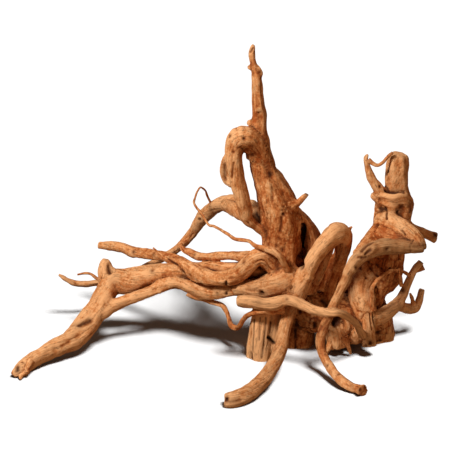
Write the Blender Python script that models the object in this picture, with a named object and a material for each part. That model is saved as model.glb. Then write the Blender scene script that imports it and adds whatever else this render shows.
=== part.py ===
"""A japanese driftwood root: the weathered root of one tree, grown as a single piece.

It stands on the sawn foot of its trunk, on the broad foot of a second trunk beside it,
and on the tips of three long roots. Everything is one fused solid.
"""

import math

import bmesh
import bpy
from mathutils import Quaternion, Vector

# Driving dimensions, in millimetres, +Z up, with the origin in the middle of the sawn foot.
MM = 0.001
VIEW_RISE = math.radians(20)
VIEW_RANGE = 3000
AIM_ACROSS = -81
AIM_RISE = 189
FOOT_MIDDLE = 30
FEWEST_SIDES = 6
MOST_SIDES = 18
RADIUS_PER_SIDE = 3.3
STATION_SPACING = 3.1
FLUTE_DEPTH = 0.07
FLUTE_TWIST = 0.004
SLAB = (1200, 1200, 120)
SHARP_ANGLE = math.radians(40)

# Each root is a route of points (across, rise, back, radius), from where it leaves the wood
# to its tip. They are measured as seen by someone who looks from the front and 20 degrees
# down: across and rise lie in that view, and back is the depth behind the sawn foot.
TRUNK = [(0, -9, 40, 33), (0, 24, 33, 34.5), (-1, 60, 18, 36), (0, 93, 9, 33), (2, 123, 4, 30),
    (2, 150, 0, 28.5), (1, 176, 0, 29), (2, 198, 0, 30.5), (-1, 218, 0, 29.5), (-8, 234, 0, 26.5),
    (-16, 252, 0, 22), (-24, 270, 0, 18), (-28, 288, 0, 17), (-30, 309, 0, 15), (-32, 333, 0, 12),
    (-31, 354, 0, 10.5), (-33, 372, 0, 9.5), (-34, 392, 0, 8.2), (-35, 411, 0, 7.2),
    (-38, 425, 0, 5.7), (-41, 437, 0, 4.6), (-42, 448, 0, 5.4), (-41, 455, 0, 4.6),
    (-39.5, 461, 0, 2.2)]
REAR_LIMB = [(6, 195, 9, 21), (4, 222, 14, 19.5), (2, 242, 18, 16), (-4, 260, 21, 12),
    (-10, 272, 22, 7)]
LEFT_COLUMN = [(-24, 93, -9, 13.5), (-27, 63, -18, 16.5), (-29, 33, -24, 17.5),
    (-31, 6, -28, 18.5), (-30, -27, -33, 18)]
RIGHT_COLUMN = [(18, 96, -3, 16.5), (21, 66, 8, 19), (26, 36, 18, 22.5), (26, -18, 26, 24)]
BACK_COLUMN = [(3, 100, 27, 21), (4, 70, 45, 25.5), (6, 40, 63, 27), (8, 10, 75, 27)]
HOOK = [(-19, 262, 2, 14), (-24, 284, 0, 15), (-30, 301, -4, 15), (-40, 313, -9, 17),
    (-51, 321, -15, 17), (-62, 320, -16, 16.5), (-68, 307, -16, 14), (-69, 288, -18, 12.5),
    (-66, 268, -18, 12), (-62, 248, -18, 12), (-56, 226, -18, 12), (-52, 210, -16, 11.5),
    (-49, 199, -14, 8.5), (-38, 190, -10, 6.5), (-24, 182, -6, 9)]
HOOK_BURL = [(-63, 303, -4, 7.5), (-74, 292, 14, 10), (-77, 282, 21, 12), (-76, 265, 21, 12.5),
    (-71, 256, 12, 10), (-60, 252, -6, 6)]
BACK_ARCH = [(-15, 192, 15, 16), (-34, 208, 57, 15), (-51, 218, 99, 13.5), (-66, 224, 129, 13),
    (-82, 224, 156, 12.5), (-99, 216, 186, 11.5), (-114, 204, 213, 11.5), (-123, 193, 230, 10),
    (-131, 179, 240, 8.5), (-141, 167, 242, 7), (-156, 154, 225, 6.5), (-176, 141, 201, 6),
    (-200, 128, 180, 6), (-225, 116, 162, 6), (-252, 106, 147, 6), (-274, 104, 135, 5.5),
    (-291, 102, 130, 5.5), (-308, 103, 128, 5), (-320, 108, 126, 4), (-332, 116, 124, 2.5)]
WIRE = [(10, 123, -33, 5), (4, 136, -39, 5), (-3, 146, -42, 5), (-15, 153, -39, 5),
    (-27, 156, -33, 4), (-37, 159, -26, 3.5), (-46, 166, -15, 3), (-58, 168, -4, 3),
    (-68, 170, 4, 2.5), (-82, 179, 21, 2.5), (-98, 188, 42, 2), (-107, 191, 63, 2),
    (-116, 205, 93, 2), (-124, 215, 117, 2), (-129, 224, 135, 2), (-127, 232, 147, 1.5),
    (-124, 241, 158, 1.5), (-119, 247, 166, 1.5), (-112, 242, 176, 1.5), (-109, 234, 180, 2),
    (-103, 222, 183, 2)]
LIMB = [(-12, 132, -3, 18), (-36, 126, 9, 15), (-63, 122, 18, 13), (-93, 121, 33, 13.5),
    (-123, 121, 48, 14), (-158, 119, 60, 16), (-195, 115, 66, 17.5), (-227, 106, 69, 21),
    (-250, 106, 66, 20), (-261, 90, 51, 16), (-272, 68, 21, 16.5), (-292, 39, -6, 17.5),
    (-308, 21, -25, 17), (-327, 11, -40, 14), (-345, 2, -53, 13), (-362, -8, -67, 12),
    (-378, -18, -83, 11.5), (-391, -28, -100, 10), (-400, -33, -103, 6)]
KNEE_KNOB = [(-256, 102, 69, 16.5), (-261, 120, 72, 13.5), (-262, 132, 75, 10),
    (-261, 139, 76, 5.5)]
TAIL_TWIG = [(-261, 102, 81, 3.5), (-274, 110, 90, 2.5), (-284, 117, 93, 2), (-293, 118, 93, 2),
    (-304, 116, 92, 1.5)]
LONG_ROOT = [(-54, 96, 0, 11.5), (-72, 94, 9, 10), (-81, 93, 15, 11), (-99, 90, 27, 11.5),
    (-116, 91, 36, 12), (-134, 97, 42, 10.5), (-147, 102, 45, 10), (-160, 104, 45, 10.5),
    (-174, 100, 44, 10), (-192, 92, 40, 9), (-213, 84, 36, 9), (-234, 76, 30, 9),
    (-252, 68, 21, 9.5), (-267, 58, 10, 10), (-281, 50, 3, 8.5)]
UPPER_LEFT = [(-9, 132, -9, 18), (-24, 144, -20, 14), (-35, 143, -22, 12.5), (-48, 131, -18, 12.5),
    (-60, 119, -10, 12), (-76, 111, -3, 12), (-96, 110, 8, 11), (-112, 113, 21, 12.5),
    (-130, 122, 40, 12), (-145, 131, 60, 11), (-158, 138, 78, 9), (-172, 143, 96, 8.5),
    (-191, 146, 117, 8), (-207, 149, 135, 8.5), (-222, 151, 148, 9), (-236, 156, 160, 8),
    (-252, 159, 174, 7), (-271, 160, 189, 6)]
SHORT_UPPER = [(-27, 142, -12, 12), (-48, 142, 0, 9.5), (-68, 144, 18, 7.5), (-87, 144, 33, 7),
    (-106, 143, 50, 6.5), (-122, 144, 63, 7), (-134, 149, 72, 6), (-145, 154, 78, 4.5),
    (-150, 162, 82, 2)]
FRONT_LIMB = [(15, 126, -9, 19), (4, 109, -22, 20.5), (-16, 100, -22, 17.5), (-36, 96, -14, 14),
    (-56, 96, -2, 11.5), (-66, 94, 4, 10.5)]
PALE_ROOT = [(-64, 76, -42, 8), (-52, 76, -46, 10), (-39, 75, -51, 10), (-24, 72, -54, 9.5),
    (-8, 73, -57, 10), (8, 78, -58, 8), (21, 76, -62, 8), (34, 70, -66, 8), (50, 63, -74, 7),
    (63, 61, -81, 6), (76, 59, -88, 5.5), (88, 59, -87, 5.5), (100, 54, -75, 5.5),
    (110, 46, -60, 5.5), (118, 36, -44, 5.5), (123, 24, -27, 6)]
FRONT_LEG = [(10, 102, -18, 18), (15, 81, -27, 14), (14, 63, -33, 11.5), (9, 45, -46, 10.5),
    (5, 26, -66, 10), (2, 8, -82, 10), (-5, -10, -105, 10.5), (-15, -28, -132, 10.5),
    (-27, -44, -159, 11), (-42, -58, -183, 11), (-58, -67, -199, 11.5), (-72, -72, -205, 11),
    (-83, -73, -204, 9.5)]
S_ROOT = [(5, 64, -44, 6.5), (-15, 62, -50, 6), (-32, 60, -50, 5), (-45, 57, -42, 4),
    (-53, 51, -28, 3.5), (-59, 42, -15, 3.5), (-65, 36, -3, 4), (-74, 41, 9, 4),
    (-77, 51, 15, 3.5), (-80, 61, 21, 4), (-87, 70, 27, 4), (-102, 75, 34, 3.5),
    (-117, 80, 39, 3.5), (-130, 82, 40, 3.5), (-139, 88, 42, 4.5)]
ARCH = [(24, 90, -21, 18), (32, 104, -30, 15.5), (42, 124, -34, 13), (54, 146, -34, 12.5),
    (68, 164, -28, 13.5), (82, 177, -18, 16.5), (92, 175, -6, 16), (94, 159, 4, 13.5),
    (90, 141, 9, 11.5), (84, 123, 9, 11), (78, 102, 8, 12), (75, 78, 6, 13.5)]
ARCH_SPIKE = [(93, 171, -3, 9), (101, 181, 0, 4.5), (108, 188, 3, 1.5)]
INNER_ROOT = [(76, 162, -18, 7.5), (69, 141, -21, 6.5), (62, 122, -22, 6.5), (52, 104, -18, 7.5)]
INNER_SPUR = [(74, 145, 10, 7), (72, 134, 12, 7), (69, 116, 12, 8), (62, 94, 10, 10)]
BUTTRESS = [(21, 207, 0, 11), (36, 195, 4, 7.5), (44, 180, 8, 9), (48, 162, 8, 11.5),
    (48, 141, 4, 12.5), (44, 117, 2, 14), (38, 90, 0, 16.5)]
BACK_ROOT = [(14, 213, 9, 13.5), (33, 189, 30, 17), (46, 170, 51, 19), (51, 142, 75, 18),
    (56, 114, 99, 17.5), (63, 88, 123, 16), (70, 68, 146, 15), (81, 57, 168, 13)]
REAR_RIB = [(26, 204, 30, 11), (34, 176, 36, 11), (37, 148, 36, 12), (36, 116, 30, 13)]
SADDLE = [(18, 78, 12, 27), (38, 64, 14, 32), (60, 62, 14, 33), (84, 60, 16, 31),
    (108, 57, 24, 30), (138, 50, 43, 28)]
BROKEN_STUB = [(76, 51, -6, 15), (82, 33, -12, 16), (86, 17, -16, 15.5), (88, 6, -19, 13)]
SAWN_LUMP = [(106, 60, 9, 16.5), (109, 40, 0, 16), (113, 24, -7, 15), (115, 14, -9, 10)]
BURL = [(36, 45, 0, 14), (51, 48, -6, 20), (68, 45, -4, 15)]
KNOT_RING = [(74, 40, -10, 5), (78, 52, -13, 5), (87, 57, -14, 5), (98, 51, -14, 5.5),
    (102, 39, -15, 6), (94, 28, -16, 6), (82, 27, -15, 5)]
RIGHT_TRUNK = [(137, 0, 54, 36.5), (137, 24, 51, 35.5), (137, 51, 50, 32.5), (133, 75, 48, 24.5),
    (137, 94, 48, 25.5), (148, 114, 50, 31), (154, 132, 50, 30), (158, 152, 51, 29),
    (162, 171, 52, 28.5), (166, 189, 52, 28.5), (170, 207, 52, 29), (172, 221, 52, 29),
    (173, 231, 52, 26.5), (175, 238, 52, 20), (175, 249, 52, 17.5), (175, 264, 52, 17.5),
    (176, 279, 52, 17.5), (177, 292, 52, 15.5), (178, 298, 52, 11.5)]
LEFT_PRONG = [(168, 214, 56, 12), (164, 224, 47, 12.5), (156, 234, 41, 11), (147, 246, 39, 9),
    (138, 259, 38, 7.5), (133, 272, 36, 6), (130, 283, 36, 5), (129, 291, 36, 4),
    (132, 297, 36, 2)]
TENDRIL = [(132, 288, 36, 4), (140, 282, 34, 3), (147, 280, 34, 2.5), (154, 284, 34, 2.5),
    (159, 290, 34, 2.5), (164, 295, 36, 3), (169, 299, 36, 2.5)]
LIP = [(138, 234, 45, 4), (150, 236, 34, 5), (168, 232, 27, 5.5), (184, 234, 33, 5),
    (197, 227, 46, 4.5)]
ELBOW_WEB = [(150, 178, 14, 14), (165, 172, 0, 12), (182, 168, -10, 9), (198, 163, -14, 6)]
ELBOW_UPPER = [(150, 195, 36, 13.5), (165, 193, 20, 16.5), (182, 186, 3, 14.5), (196, 178, -8, 12),
    (206, 169, -14, 10), (211, 160, -16, 8.5)]
ELBOW_LOWER = [(218, 160, -12, 5.5), (211, 159, -15, 9.5), (198, 158, -20, 10),
    (184, 158, -24, 10.5), (171, 158, -28, 11), (156, 158, -36, 11.5), (141, 154, -45, 11.5),
    (127, 147, -54, 11), (113, 137, -63, 10), (104, 124, -68, 9), (99, 110, -72, 8),
    (93, 96, -75, 7.5), (86, 81, -76, 7), (79, 66, -78, 7), (72, 51, -81, 7),
    (66, 38, -80, 7.5), (62, 26, -83, 7),
    (60, 15, -84, 7), (62, 3, -87, 7), (67, -10, -96, 7), (75, -23, -111, 7), (85, -36, -131, 7),
    (95, -45, -145, 7), (106, -52, -155, 7), (117, -56, -161, 7.5), (125, -58, -170, 9.5)]
STOUT_ROOT = [(140, 136, 54, 15), (129, 116, 34, 17), (121, 97, 16, 17.5), (122, 80, 4, 17),
    (127, 62, -5, 13.5), (132, 45, -13, 10), (133, 28, -20, 10), (134, 8, -28, 11.5)]
CROTCH_RIB = [(122, 100, 22, 12), (106, 94, 46, 12), (84, 82, 56, 12)]
FORK_ROOT = [(123, 50, 0, 12), (138, 50, -2, 12), (153, 55, 8, 11.5), (165, 63, 21, 10.5),
    (176, 72, 33, 9), (183, 83, 40, 7), (190, 99, 46, 6), (196, 112, 51, 5.5),
    (203, 124, 56, 5.5), (212, 136, 60, 5)]
FORK_LOWER = [(171, 71, 30, 8.5), (182, 68, 40, 8.5), (193, 65, 48, 9), (202, 66, 54, 8.5),
    (208, 74, 58, 6.5), (211, 85, 60, 5.5), (213, 94, 62, 5)]
FORK_SIDE = [(202, 123, 56, 4), (208, 124, 56, 4), (216, 127, 56, 4)]
THIN_TWIG = [(140, 63, -9, 4.5), (139, 80, -10, 4), (138, 95, -9, 3.5), (144, 105, -4, 3.5),
    (154, 114, 3, 3), (164, 121, 10, 3), (176, 122, 22, 3), (186, 120, 36, 2.5),
    (196, 113, 50, 2.5)]
BACK_STUB = [(174, 201, 69, 12), (189, 192, 81, 8.5), (202, 184, 87, 7), (216, 178, 92, 7.5),
    (234, 171, 96, 8.5)]
TRUNK_STUB = [(18, 219, -12, 10.5), (29, 226, -12, 5), (41, 238, -12, 3.5)]
SPIKE_STUB = [(-33, 338, 0, 7), (-40, 341, 0, 5), (-49, 345, 0, 3.5)]
SPIKE_BURR = [(-37, 431, -1, 2.5), (-32, 424, -2, 4), (-29, 418, -2, 3.8), (-31, 411, 0, 3)]
SPIKE_THORN = [(-41, 425, 0, 4), (-46, 427, 0, 3.5), (-49, 429, 0, 2)]
SHOULDER = [(164, 196, 36, 15), (146, 177, 21, 14), (133, 160, 0, 13), (118, 144, -27, 11)]
HOOK_FOOT = [(-51, 204, -12, 10), (-58, 209, 21, 11.5), (-69, 215, 75, 11), (-82, 219, 138, 9)]
HOOK_CROTCH = [(-36, 309, -4, 13), (-43, 298, -8, 8.5), (-47, 288, -9, 4.5)]
KNOB_STUB = [(153, 226, 39, 7), (144, 230, 38, 5), (137, 235, 36, 3.5)]
TWIG_STUB = [(178, 124, 22, 3), (179, 112, 24, 4.5), (182, 99, 27, 2.5)]
THORN = [(200, 70, 51, 4.5), (198, 80, 50, 3), (195, 88, 50, 1.5)]
MIDDLE_COLUMN = [(-9, 99, -6, 15), (-12, 66, -12, 19), (-11, 33, -17, 19), (-10, -18, -21, 19)]

# The two trunks and the wood between them are fluted: how many flutes go round each.
FLUTES = {"trunk": 7, "right_trunk": 6, "saddle": 5, "back_column": 4}

LIMBS = {
    "rear_limb": REAR_LIMB, "left_column": LEFT_COLUMN, "right_column": RIGHT_COLUMN,
    "back_column": BACK_COLUMN, "hook": HOOK, "hook_burl": HOOK_BURL, "back_arch": BACK_ARCH,
    "wire": WIRE, "limb": LIMB, "knee_knob": KNEE_KNOB, "tail_twig": TAIL_TWIG,
    "long_root": LONG_ROOT, "upper_left": UPPER_LEFT, "short_upper": SHORT_UPPER,
    "front_limb": FRONT_LIMB, "pale_root": PALE_ROOT, "front_leg": FRONT_LEG, "s_root": S_ROOT,
    "arch": ARCH, "arch_spike": ARCH_SPIKE, "inner_root": INNER_ROOT, "buttress": BUTTRESS,
    "back_root": BACK_ROOT, "saddle": SADDLE, "broken_stub": BROKEN_STUB, "sawn_lump": SAWN_LUMP,
    "right_trunk": RIGHT_TRUNK, "shoulder": SHOULDER, "left_prong": LEFT_PRONG,
    "tendril": TENDRIL, "elbow_upper": ELBOW_UPPER, "elbow_lower": ELBOW_LOWER,
    "stout_root": STOUT_ROOT, "fork_root": FORK_ROOT, "fork_lower": FORK_LOWER,
    "fork_side": FORK_SIDE, "thin_twig": THIN_TWIG, "back_stub": BACK_STUB,
    "trunk_stub": TRUNK_STUB, "spike_stub": SPIKE_STUB, "hook_foot": HOOK_FOOT,
    "hook_crotch": HOOK_CROTCH, "knob_stub": KNOB_STUB, "twig_stub": TWIG_STUB, "thorn": THORN,
    "middle_column": MIDDLE_COLUMN, "knot_ring": KNOT_RING, "burl": BURL, "rear_rib": REAR_RIB,
    "inner_spur": INNER_SPUR, "spike_thorn": SPIKE_THORN, "spike_burr": SPIKE_BURR,
    "lip": LIP, "elbow_web": ELBOW_WEB, "crotch_rib": CROTCH_RIB,
}


def placed(across, rise, back):
    """The real place, in millimetres, of a point measured in the view."""
    down, level = math.sin(VIEW_RISE), math.cos(VIEW_RISE)
    seen_across, seen_rise = across - AIM_ACROSS, rise - AIM_RISE
    height = (seen_rise * (1 + back * level / VIEW_RANGE) - back * down) / (
        level + seen_rise * down / VIEW_RANGE)
    spread = 1 + (back * level - height * down) / VIEW_RANGE
    return Vector((AIM_ACROSS + seen_across * spread, back - FOOT_MIDDLE,
                   AIM_RISE / level + height))


def smooth_course(route):
    """Places and radii along a smooth curve through the route's points."""
    spots = [placed(*point[:3]) for point in route]
    radii = [point[3] for point in route]
    course = [(spots[0], radii[0])]
    last = len(spots) - 1
    for i in range(last):
        before, start = spots[max(i - 1, 0)], spots[i]
        end, after = spots[i + 1], spots[min(i + 2, last)]
        spacing = STATION_SPACING * (radii[i] + radii[i + 1]) / 2
        pieces = max(1, round((end - start).length / spacing))
        for k in range(1, pieces + 1):
            t = k / pieces
            spot = 0.5 * (2 * start + (end - before) * t
                          + (2 * before - 5 * start + 4 * end - after) * t ** 2
                          + (3 * start - before - 3 * end + after) * t ** 3)
            course.append((spot, radii[i] + (radii[i + 1] - radii[i]) * t))
    return course


def root_tube(name, route, flutes=0):
    """A closed tube along the route, with rings that turn as little as they can."""
    course = smooth_course(route)
    widest = max(radius for _, radius in course)
    sides = round(min(MOST_SIDES, FEWEST_SIDES + widest / RADIUS_PER_SIDE))
    fullness = 2 / (1 + math.cos(math.pi / sides))
    spots = [spot for spot, _ in course]
    last = len(course) - 1
    aims = [(spots[min(i + 1, last)] - spots[max(i - 1, 0)]).normalized()
            for i in range(last + 1)]
    arm = aims[0].orthogonal().normalized()
    points, travelled = [], 0
    for i, (spot, radius) in enumerate(course):
        if i:
            arm.rotate(aims[i - 1].rotation_difference(aims[i]))
            travelled += (spot - spots[i - 1]).length
        for k in range(sides):
            angle = 2 * math.pi * k / sides
            reach = radius * fullness
            if flutes:
                reach *= 1 + FLUTE_DEPTH * math.cos(flutes * (angle + FLUTE_TWIST * travelled))
            points.append((spot + Quaternion(aims[i], angle) @ arm * reach) * MM)
    faces = [tuple(reversed(range(sides))), tuple(range(last * sides, (last + 1) * sides))]
    for i in range(last):
        for k in range(sides):
            a, b = i * sides + k, i * sides + (k + 1) % sides
            faces.append((a, b, b + sides, a + sides))
    mesh = bpy.data.meshes.new(name)
    mesh.from_pydata(points, [], faces)
    return bpy.data.objects.new(name, mesh)


def apply_boolean(body, operation, tools):
    """Joins the tools to the body, or cuts it with them, and removes them."""
    group = bpy.data.collections.new(operation)
    for tool in tools:
        group.objects.link(tool)
    step = body.modifiers.new(operation.title(), "BOOLEAN")
    step.operation = operation
    step.solver = "MANIFOLD"
    step.operand_type = "COLLECTION"
    step.collection = group
    bpy.context.view_layer.objects.active = body
    bpy.ops.object.modifier_apply(modifier=step.name)
    for tool in tools:
        bpy.data.objects.remove(tool)
    bpy.data.collections.remove(group)


def keep_outer_skin(body):
    """Fills the small hollows that the fused roots enclose, and drops loose scraps."""
    mesh = bmesh.new()
    mesh.from_mesh(body.data)
    waiting, skins = set(mesh.faces), []
    while waiting:
        skin, next_faces = [], [waiting.pop()]
        while next_faces:
            face = next_faces.pop()
            skin.append(face)
            neighbours = {other for edge in face.edges for other in edge.link_faces} & waiting
            waiting -= neighbours
            next_faces += neighbours
        skins.append(skin)
    skins.sort(key=len)
    for skin in skins[:-1]:
        bmesh.ops.delete(mesh, geom=skin, context="FACES")
    mesh.to_mesh(body.data)
    mesh.free()


def bare_wood():
    """Dry, bare, orange-brown wood."""
    material = bpy.data.materials.new("bare_wood")
    material.use_nodes = True
    shader = material.node_tree.nodes["Principled BSDF"]
    shader.inputs["Base Color"].default_value = (0.52, 0.24, 0.09, 1)
    shader.inputs["Roughness"].default_value = 0.72
    shader.inputs["Metallic"].default_value = 0
    return material


for leftover in list(bpy.data.objects):
    bpy.data.objects.remove(leftover)

root = root_tube("driftwood_root", TRUNK, FLUTES["trunk"])
bpy.context.scene.collection.objects.link(root)

limbs = [root_tube(name, route, FLUTES.get(name, 0)) for name, route in LIMBS.items()]
apply_boolean(root, "UNION", limbs)

# The foot is sawn flat, and the tips that touch down are worn flat at the same level.
bpy.ops.mesh.primitive_cube_add(size=1, location=(0, 0, -SLAB[2] / 2 * MM))
slab = bpy.context.object
slab.scale = [side * MM for side in SLAB]
bpy.ops.object.transform_apply(location=False, rotation=False, scale=True)
apply_boolean(root, "DIFFERENCE", [slab])

keep_outer_skin(root)
root.data.materials.append(bare_wood())
root.data.shade_smooth()
root.data.set_sharp_from_angle(angle=SHARP_ANGLE)
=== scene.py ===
import math

import bpy
import numpy as np
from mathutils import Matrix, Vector, noise
from mathutils.bvhtree import BVHTree
from mathutils.kdtree import KDTree


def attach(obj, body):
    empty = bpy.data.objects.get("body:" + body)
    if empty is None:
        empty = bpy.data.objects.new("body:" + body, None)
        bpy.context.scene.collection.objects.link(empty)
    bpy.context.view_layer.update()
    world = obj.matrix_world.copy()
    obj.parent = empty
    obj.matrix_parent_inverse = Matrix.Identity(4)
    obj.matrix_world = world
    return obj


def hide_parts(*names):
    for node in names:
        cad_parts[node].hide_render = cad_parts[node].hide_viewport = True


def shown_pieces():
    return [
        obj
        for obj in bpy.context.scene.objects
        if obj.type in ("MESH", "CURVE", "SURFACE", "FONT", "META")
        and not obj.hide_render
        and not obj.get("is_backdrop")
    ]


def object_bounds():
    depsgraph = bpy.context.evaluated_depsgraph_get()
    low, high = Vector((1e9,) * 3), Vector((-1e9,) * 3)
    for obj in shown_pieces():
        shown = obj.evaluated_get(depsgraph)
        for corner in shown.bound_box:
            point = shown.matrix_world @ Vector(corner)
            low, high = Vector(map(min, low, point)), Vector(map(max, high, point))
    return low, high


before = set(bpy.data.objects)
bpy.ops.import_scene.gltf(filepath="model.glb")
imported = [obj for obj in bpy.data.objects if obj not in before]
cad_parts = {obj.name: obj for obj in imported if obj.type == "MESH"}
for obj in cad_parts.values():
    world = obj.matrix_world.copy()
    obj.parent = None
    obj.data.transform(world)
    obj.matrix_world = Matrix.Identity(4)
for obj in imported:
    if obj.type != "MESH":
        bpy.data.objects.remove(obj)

cad_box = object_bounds()

# How the root is measured. It is looked at from the front, 20 degrees down and 3 m away, and
# every root below is a route of points in that view, in millimetres: across, rise, depth behind
# the sawn foot, and radius. The camera stands where that look was taken from.
MM = 0.001
VIEW_RISE = math.radians(20)
VIEW_RANGE = 3000
AIM_ACROSS = -81
AIM_RISE = 189
FOOT_MIDDLE = 30
SEEN_WIDTH = 678


def placed(across, rise, back):
    """The real place, in millimetres, of a point measured in the view."""
    down, level = math.sin(VIEW_RISE), math.cos(VIEW_RISE)
    seen_across, seen_rise = across - AIM_ACROSS, rise - AIM_RISE
    height = (seen_rise * (1 + back * level / VIEW_RANGE) - back * down) / (
        level + seen_rise * down / VIEW_RANGE)
    spread = 1 + (back * level - height * down) / VIEW_RANGE
    return Vector((AIM_ACROSS + seen_across * spread, back - FOOT_MIDDLE,
                   AIM_RISE / level + height))


aim = placed(AIM_ACROSS, AIM_RISE, 0)
eye = aim + VIEW_RANGE * Vector((0, -math.cos(VIEW_RISE), math.sin(VIEW_RISE)))
bpy.ops.object.camera_add(location=eye * MM, rotation=(math.pi / 2 - VIEW_RISE, 0, 0))
camera = bpy.context.object
camera.data.lens = camera.data.sensor_width * VIEW_RANGE / SEEN_WIDTH
bpy.context.scene.camera = camera

# The main trunk: a stump sawn flat at the foot, that narrows to a tall spike with a cut tip.
# Weather has washed its columns apart, and a short rear limb hugs its back.
TRUNK = [(0, -9, 40, 33), (0, 24, 33, 34.5), (-1, 60, 18, 36), (0, 93, 9, 33), (2, 123, 4, 30),
    (2, 150, 0, 28.5), (1, 176, 0, 29), (2, 198, 0, 30.5), (-1, 218, 0, 29.5), (-8, 234, 0, 26.5),
    (-16, 252, 0, 22), (-24, 270, 0, 18), (-28, 288, 0, 17), (-30, 309, 0, 15), (-32, 333, 0, 12),
    (-31, 354, 0, 10.5), (-33, 372, 0, 9.5), (-34, 392, 0, 8.2), (-35, 411, 0, 7.2),
    (-38, 425, 0, 5.7), (-41, 437, 0, 4.6), (-42, 448, 0, 5.4), (-41, 455, 0, 4.6),
    (-39.5, 461, 0, 2.2)]
REAR_LIMB = [(6, 195, 9, 21), (4, 222, 14, 19.5), (2, 242, 18, 16), (-4, 260, 21, 12),
    (-10, 272, 22, 7)]
LEFT_COLUMN = [(-24, 93, -9, 13.5), (-27, 63, -18, 16.5), (-29, 33, -24, 17.5),
    (-31, 6, -28, 18.5), (-30, -27, -33, 18)]
MIDDLE_COLUMN = [(-9, 99, -6, 15), (-12, 66, -12, 19), (-11, 33, -17, 19), (-10, -18, -21, 19)]
RIGHT_COLUMN = [(18, 96, -3, 16.5), (21, 66, 8, 19), (26, 36, 18, 22.5), (26, -18, 26, 24)]
BACK_COLUMN = [(3, 100, 27, 21), (4, 70, 45, 25.5), (6, 40, 63, 27), (8, 10, 75, 27)]
TRUNK_STUB = [(18, 219, -12, 10.5), (29, 226, -12, 5), (41, 238, -12, 3.5)]
SPIKE_STUB = [(-33, 338, 0, 7), (-40, 341, 0, 5), (-49, 345, 0, 3.5)]
SPIKE_BURR = [(-37, 431, -1, 2.5), (-32, 424, -2, 4), (-29, 418, -2, 3.8), (-31, 411, 0, 3)]
SPIKE_THORN = [(-41, 425, 0, 4), (-46, 427, 0, 3.5), (-49, 429, 0, 2)]

# Each root is grown as a tube of rings, whose section has shallow lobes and may be fluted.
# Lengths are in millimetres, and depths are shares of the radius.
RING_SPACING = 0.3
LEAST_SPACING = 1.5
TUBE_SIDES = 28
END_SCALES = [0.5, 0.85]
ROOT_SHIFT = 137
LOBE_DEPTH = 0.05
LOBE_TWIST = 0.01
THREE_LOBES = 0.6
THREE_LOBE_DRIFT = 60
FIVE_LOBES = 0.5
FIVE_LOBE_DRIFT = 35
FLUTE_DEPTH = 0.07
FLUTE_TWIST = 0.03
grown = {"place": [], "tone": [], "root": [], "ring": []}
frames = []


def course_of(route, ring_spacing):
    """Places and radii along a smooth curve through the route's points."""
    spots = [placed(*point[:3]) for point in route]
    radii = [point[3] for point in route]
    course = [(spots[0], radii[0])]
    last = len(spots) - 1
    for i in range(last):
        before, start = spots[max(i - 1, 0)], spots[i]
        end, after = spots[i + 1], spots[min(i + 2, last)]
        spacing = max(LEAST_SPACING, ring_spacing * (radii[i] + radii[i + 1]) / 2)
        pieces = max(1, round((end - start).length / spacing))
        for k in range(1, pieces + 1):
            t = k / pieces
            spot = 0.5 * (2 * start + (end - before) * t
                          + (2 * before - 5 * start + 4 * end - after) * t ** 2
                          + (3 * start - before - 3 * end + after) * t ** 3)
            eased = t * t * (3 - 2 * t)
            course.append((spot, radii[i] + (radii[i + 1] - radii[i]) * eased))
    return course


def grow(name, route, tint=(0.4,), grey=(0,), rough=(1,), lobes=LOBE_DEPTH, flutes=0,
         twist=LOBE_TWIST, sides=TUBE_SIDES, ring_spacing=RING_SPACING):
    """A closed tube along a route. Its section is a little oval and lobed, and winds as it goes.

    tint, from 0, pale tan, to 1, deep red brown, grey, how greyed the wood is, and rough, how
    deep its grain is worn, are each given at even steps from the route's start to its end."""
    course = course_of(route, ring_spacing)
    seed = len(grown["root"])
    spots = [spot for spot, _ in course]
    last = len(course) - 1
    aims = [(spots[min(i + 1, last)] - spots[max(i - 1, 0)]).normalized()
            for i in range(last + 1)]
    arm = aims[0].orthogonal().normalized()
    angles = np.arange(sides) * 2 * math.pi / sides
    rings, tones, ring_numbers, travelled = [], [], [], ROOT_SHIFT * seed
    for i, (spot, radius) in enumerate(course):
        if i:
            arm.rotate(aims[i - 1].rotation_difference(aims[i]))
            travelled += (spot - spots[i - 1]).length
        side = aims[i].cross(arm)
        turned = angles + twist * travelled
        frames.append([*spot, *arm, *side, *aims[i], travelled, twist * travelled])
        shape = (1 + lobes * np.cos(2 * turned + seed)
                 + THREE_LOBES * lobes * np.cos(3 * turned + 2 * seed
                                                + travelled / THREE_LOBE_DRIFT)
                 + FIVE_LOBES * lobes * np.cos(5 * turned + 3 * seed
                                               - travelled / FIVE_LOBE_DRIFT))
        if flutes:
            shape += FLUTE_DEPTH * np.cos(flutes * angles + FLUTE_TWIST * travelled)
        reach = radius * shape
        local = np.stack([reach * np.cos(angles), reach * np.sin(angles)], 1)
        tone = [np.interp(i / last, np.linspace(0, 1, len(stops)), stops)
                for stops in (tint, grey, rough)]
        scales = [1.0]
        if i == 0:
            scales = END_SCALES + scales
        if i == last:
            scales = scales + END_SCALES[::-1]
        for scale in scales:
            rings.append(np.array(spot) + local * scale @ np.array([arm, side]))
            tones.append(np.tile(tone, (sides, 1)))
            ring_numbers.append(np.full(sides, len(frames) - 1))
    places = np.concatenate(rings)
    count = len(rings)
    faces = [tuple(reversed(range(sides))), tuple(range((count - 1) * sides, count * sides))]
    for i in range(count - 1):
        for k in range(sides):
            a, b = i * sides + k, i * sides + (k + 1) % sides
            faces.append((a, b, b + sides, a + sides))
    mesh = bpy.data.meshes.new(name)
    mesh.from_pydata(places * MM, [], faces)
    tube = bpy.data.objects.new(name, mesh)
    bpy.context.scene.collection.objects.link(tube)
    grown["place"].append(places)
    grown["tone"].append(np.concatenate(tones))
    grown["root"].append(np.full(len(places), seed))
    grown["ring"].append(np.concatenate(ring_numbers))
    return tube


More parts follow.
